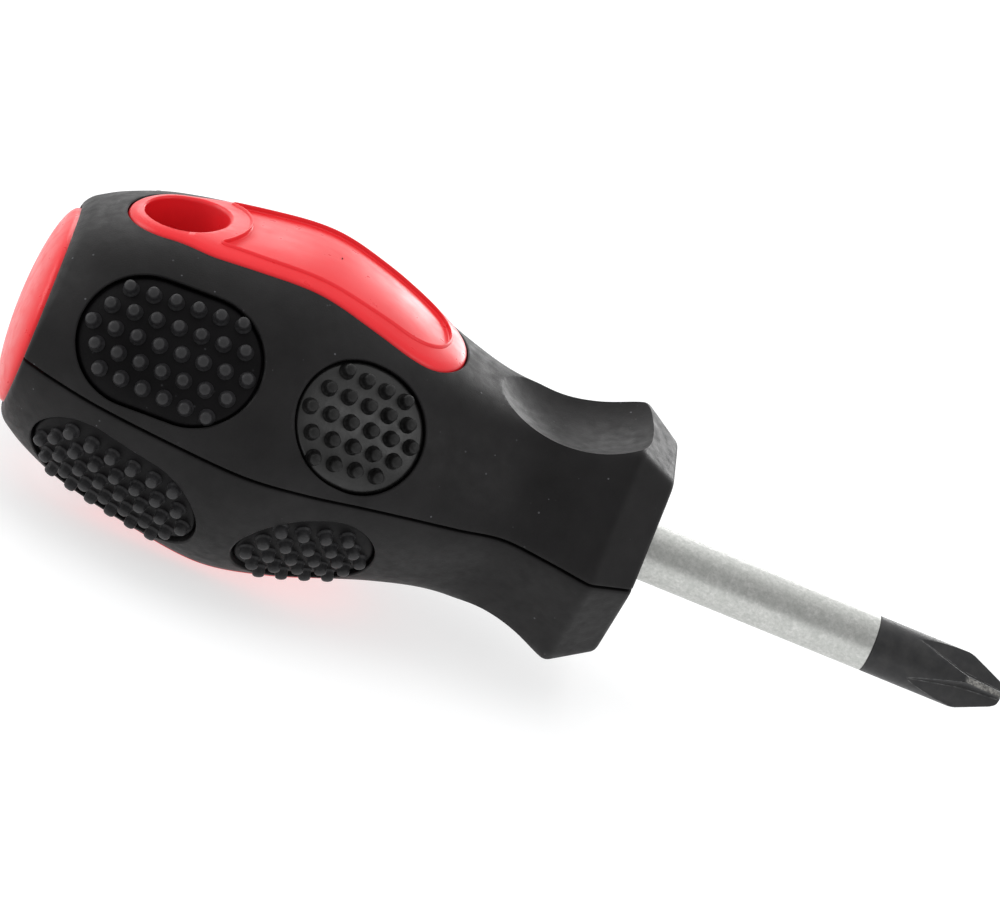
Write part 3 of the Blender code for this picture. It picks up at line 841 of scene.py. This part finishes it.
def rubber(name, colour, dusty, gloss, polish):
    """Moulded black rubber: a fine matt grain, faint cloudy patches and a little pale dust."""
    finish = Finish(name, colour, Specular_IOR_Level=gloss)
    cloud = finish.span(finish.noise(0.16, 4.0), 0.35, 0.7, 0.0, 1.0)
    lighter = tuple(c * 1.5 + 0.002 for c in colour)
    base = finish.mix(cloud, colour, lighter)
    dusty_places = finish.span(finish.noise(0.35, 2.0), 0.5, 0.62, 0.0, dusty)
    dust = finish.times(finish.spots(0.8, 0.07), dusty_places)
    finish.colour(finish.mix(dust, base, (0.13, 0.13, 0.14)))
    finish.roughness(finish.span(finish.noise(0.9, 5.0), 0.3, 0.7, 0.42 + polish, 0.58 + polish))
    finish.bump((finish.noise(1.1, 3.0), 0.12, 0.08), (finish.noise(7.0, 3.0), 0.4, 0.035))
    return finish.material


def red_plastic():
    """Glossy moulded plastic with faint flow clouds, a soft ripple and faint lengthwise scuffs."""
    colour = (0.73, 0.014, 0.020)
    finish = Finish("red_gloss", colour, Specular_IOR_Level=0.38)
    cloud = finish.span(finish.noise(0.12, 3.0), 0.35, 0.7, 0.0, 1.0)
    finish.colour(finish.mix(cloud, colour, (0.78, 0.019, 0.026)))
    scuffs = finish.span(finish.noise(0.8, 3.0, 0.55, stretch=(0.2, 1.0, 1.0)), 0.45, 0.75, 0.0, 0.1)
    scuffed = finish.add("ShaderNodeMath", {"operation": "ADD"})
    finish.feed(scuffed.inputs[0], scuffs)
    finish.feed(scuffed.inputs[1], finish.span(finish.noise(0.6, 3.0), 0.3, 0.7, 0.26, 0.36))
    finish.roughness(scuffed.outputs[0])
    finish.bump((finish.noise(0.5, 2.0), 0.1, 0.12), (finish.noise(1.8, 2.0), 0.06, 0.02))
    return finish.material


def satin_chrome():
    """Satin plate: a fine speckle, faint turning lines round the bar and a cloudy sheen."""
    colour = (0.50, 0.50, 0.485)
    finish = Finish("satin_plate", colour, Metallic=1.0)
    speck = finish.span(finish.noise(2.6, 4.0, 0.75), 0.3, 0.7, 0.0, 1.0)
    blotch = finish.span(finish.noise(0.9, 3.0, 0.6), 0.35, 0.65, 0.0, 0.45)
    plate = finish.mix(speck, (0.42, 0.43, 0.41), (0.68, 0.68, 0.66))
    finish.colour(finish.mix(blotch, plate, (0.44, 0.455, 0.43)))
    finish.roughness(finish.span(finish.noise(2.2, 5.0, 0.7), 0.3, 0.7, 0.3, 0.48))
    turning_lines = finish.noise(1.0, 3.0, stretch=(6.0, 0.3, 0.3))
    finish.bump((turning_lines, 0.06, 0.04), (finish.noise(4.5, 4.0, 0.7), 0.4, 0.025))
    return finish.material


def blackened_steel(name, wear):
    """Black oxide on steel: a fine grain, faint clouds and lengthwise lines. With wear, it has
    pale speckles where the cone's lands rub in a screw's recess."""
    colour = (0.020, 0.020, 0.021)
    finish = Finish(name, colour, Metallic=0.3, Specular_IOR_Level=0.4)
    cloud = finish.span(finish.noise(0.8, 4.0), 0.35, 0.7, 0.0, 1.0)
    base = finish.mix(cloud, colour, (0.034, 0.033, 0.033))
    if wear:
        apart = finish.add("ShaderNodeSeparateXYZ", Vector=finish.millimetres.outputs[0])
        on_cone = finish.span(apart.outputs["X"], -CONE_LENGTH - 0.3, -CONE_LENGTH + 0.2, 0.0, wear)
        speckle = finish.span(finish.noise(3.2, 4.0, 0.7), 0.42, 0.62, 0.15, 0.85)
        base = finish.mix(finish.times(on_cone, speckle), base, (0.30, 0.29, 0.27))
    finish.colour(base)
    finish.roughness(finish.span(finish.noise(2.5, 5.0, 0.65), 0.3, 0.7, 0.34, 0.52))
    lengthwise_lines = finish.noise(1.2, 3.0, stretch=(0.4, 5.0, 5.0))
    finish.bump((lengthwise_lines, 0.1, 0.03), (finish.noise(8.0, 3.0), 0.25, 0.02))
    return finish.material


def worn_steel():
    """Bare steel where the black has rubbed off along the blade's edges."""
    colour = (0.20, 0.20, 0.20)
    finish = Finish("worn_steel", colour, Metallic=0.85)
    rubbed = finish.span(finish.noise(1.6, 4.0), 0.4, 0.6, 0.0, 1.0)
    finish.colour(finish.mix(rubbed, (0.03, 0.03, 0.03), (0.13, 0.13, 0.13)))
    finish.roughness(finish.span(finish.noise(3.0, 3.0), 0.3, 0.7, 0.3, 0.45))
    return finish.material


def pale_floor():
    """A matt white table top that glows a little, as a light table does."""
    finish = Finish("pale_floor", (0.46, 0.46, 0.46), Roughness=0.9, Specular_IOR_Level=0.1)
    finish.shader.inputs["Emission Color"].default_value = (1.0, 1.0, 1.0, 1.0)
    finish.shader.inputs["Emission Strength"].default_value = FLOOR_GLOW
    finish.colour(finish.mix(finish.noise(0.02, 3.0), (0.45, 0.45, 0.45), (0.47, 0.47, 0.47)))
    return finish.material


# ---------------------------------------------------------------- stage


def make_floor():
    """A flat floor that the handle rests on."""
    far = FLOOR_REACH
    corners = [(-far, -far, 0), (far, -far, 0), (far, far, 0), (-far, far, 0)]
    points = np.array(corners) + (0.0, 0.0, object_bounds()[0].z / MM)
    floor = make_object("floor", points, [(0, 1, 2, 3)], pale_floor())


def soft_light(name, place, size, power, glossy):
    """A round lamp, aimed at the tool."""
    data = bpy.data.lights.new(name, "AREA")
    data.shape = "DISK"
    data.size = size
    data.energy = power
    lamp = bpy.data.objects.new(name, data)
    lamp.location = place
    lamp.visible_glossy = glossy
    lamp.rotation_mode = "QUATERNION"
    lamp.rotation_quaternion = (Vector(LIGHT_AIM) - Vector(place)).to_track_quat("-Z", "Y")
    bpy.context.scene.collection.objects.link(lamp)


def make_world():
    """Even soft light for matt surfaces. Glossy ones see a room that is bright behind the tool
    and dimmer on the near side."""
    world = bpy.data.worlds.new("soft_room")
    world.use_nodes = True
    tree = world.node_tree
    even = tree.nodes["Background"]
    even.inputs["Color"].default_value = (0.97, 0.985, 1.0, 1.0)
    even.inputs["Strength"].default_value = EVEN_LIGHT
    mirrored_room = tree.nodes.new("ShaderNodeBackground")
    place = tree.nodes.new("ShaderNodeTexCoord")
    apart = tree.nodes.new("ShaderNodeSeparateXYZ")
    depth = tree.nodes.new("ShaderNodeMapRange")
    depth.interpolation_type = "SMOOTHSTEP"
    for key, value in (("From Min", -0.75), ("From Max", 0.85), ("To Min", ROOM_NEAR), ("To Max", ROOM_FAR)):
        depth.inputs[key].default_value = value
    path = tree.nodes.new("ShaderNodeLightPath")
    choice = tree.nodes.new("ShaderNodeMixShader")
    tree.links.new(place.outputs["Generated"], apart.inputs[0])
    tree.links.new(apart.outputs["Y"], depth.inputs["Value"])
    tree.links.new(depth.outputs["Result"], mirrored_room.inputs["Strength"])
    tree.links.new(path.outputs["Is Glossy Ray"], choice.inputs[0])
    tree.links.new(even.outputs[0], choice.inputs[1])
    tree.links.new(mirrored_room.outputs[0], choice.inputs[2])
    tree.links.new(choice.outputs[0], tree.nodes["World Output"].inputs["Surface"])
    bpy.context.scene.world = world


def make_camera():
    """The photograph's viewpoint, from the near side, a little above, with the horizon tilted."""
    azimuth, elevation, roll = (math.radians(v) for v in CAMERA_TURN)
    sideways, upward = CAMERA_SLIDE
    flat = math.cos(elevation)
    back = Vector((math.sin(azimuth) * flat, -math.cos(azimuth) * flat, math.sin(elevation)))
    level = Vector((math.cos(azimuth), math.sin(azimuth), 0.0))
    lifted = back.cross(level)
    right = math.cos(roll) * level + math.sin(roll) * lifted
    up = -math.sin(roll) * level + math.cos(roll) * lifted
    data = bpy.data.cameras.new("camera")
    data.sensor_width = 36.0
    data.lens = CAMERA_LENS
    data.clip_start = 0.01
    camera = bpy.data.objects.new("camera", data)
    camera.matrix_world = Matrix((right, up, back)).transposed().to_4x4()
    place = Vector(CAMERA_TARGET) + back * CAMERA_DISTANCE + right * sideways + up * upward
    camera.matrix_world.translation = place * MM
    bpy.context.scene.collection.objects.link(camera)
    bpy.context.scene.camera = camera


def main():
    rubbers = {name: rubber(f"{name}_rubber", *values) for name, values in RUBBERS.items()}
    red = red_plastic()
    make_shank(satin_chrome())
    oxide = blackened_steel("black_oxide", wear=1.0)
    ground_oxide = blackened_steel("ground_oxide", wear=0.0)
    make_tip(oxide, ground_oxide, worn_steel())
    make_core(red)
    make_cap(red)
    for half in (1, -1):
        make_grip(half, rubbers["grip"])
        for side in (1, -1):
            for pad_name, pad in PADS.items():
                kind = pad_name if half > 0 else "oval"  # the lower pads all have the oval ones' darker colours, as painted shade on the underside
                make_pad(pad_name, pad, side, half, rubbers[f"{kind}_pad"], rubbers[f"{kind}_stud"])
    make_floor()
    make_world()
    for light in LIGHTS:
        soft_light(*light)
    make_camera()
    bpy.context.scene.view_settings.view_transform = "Standard"


main()
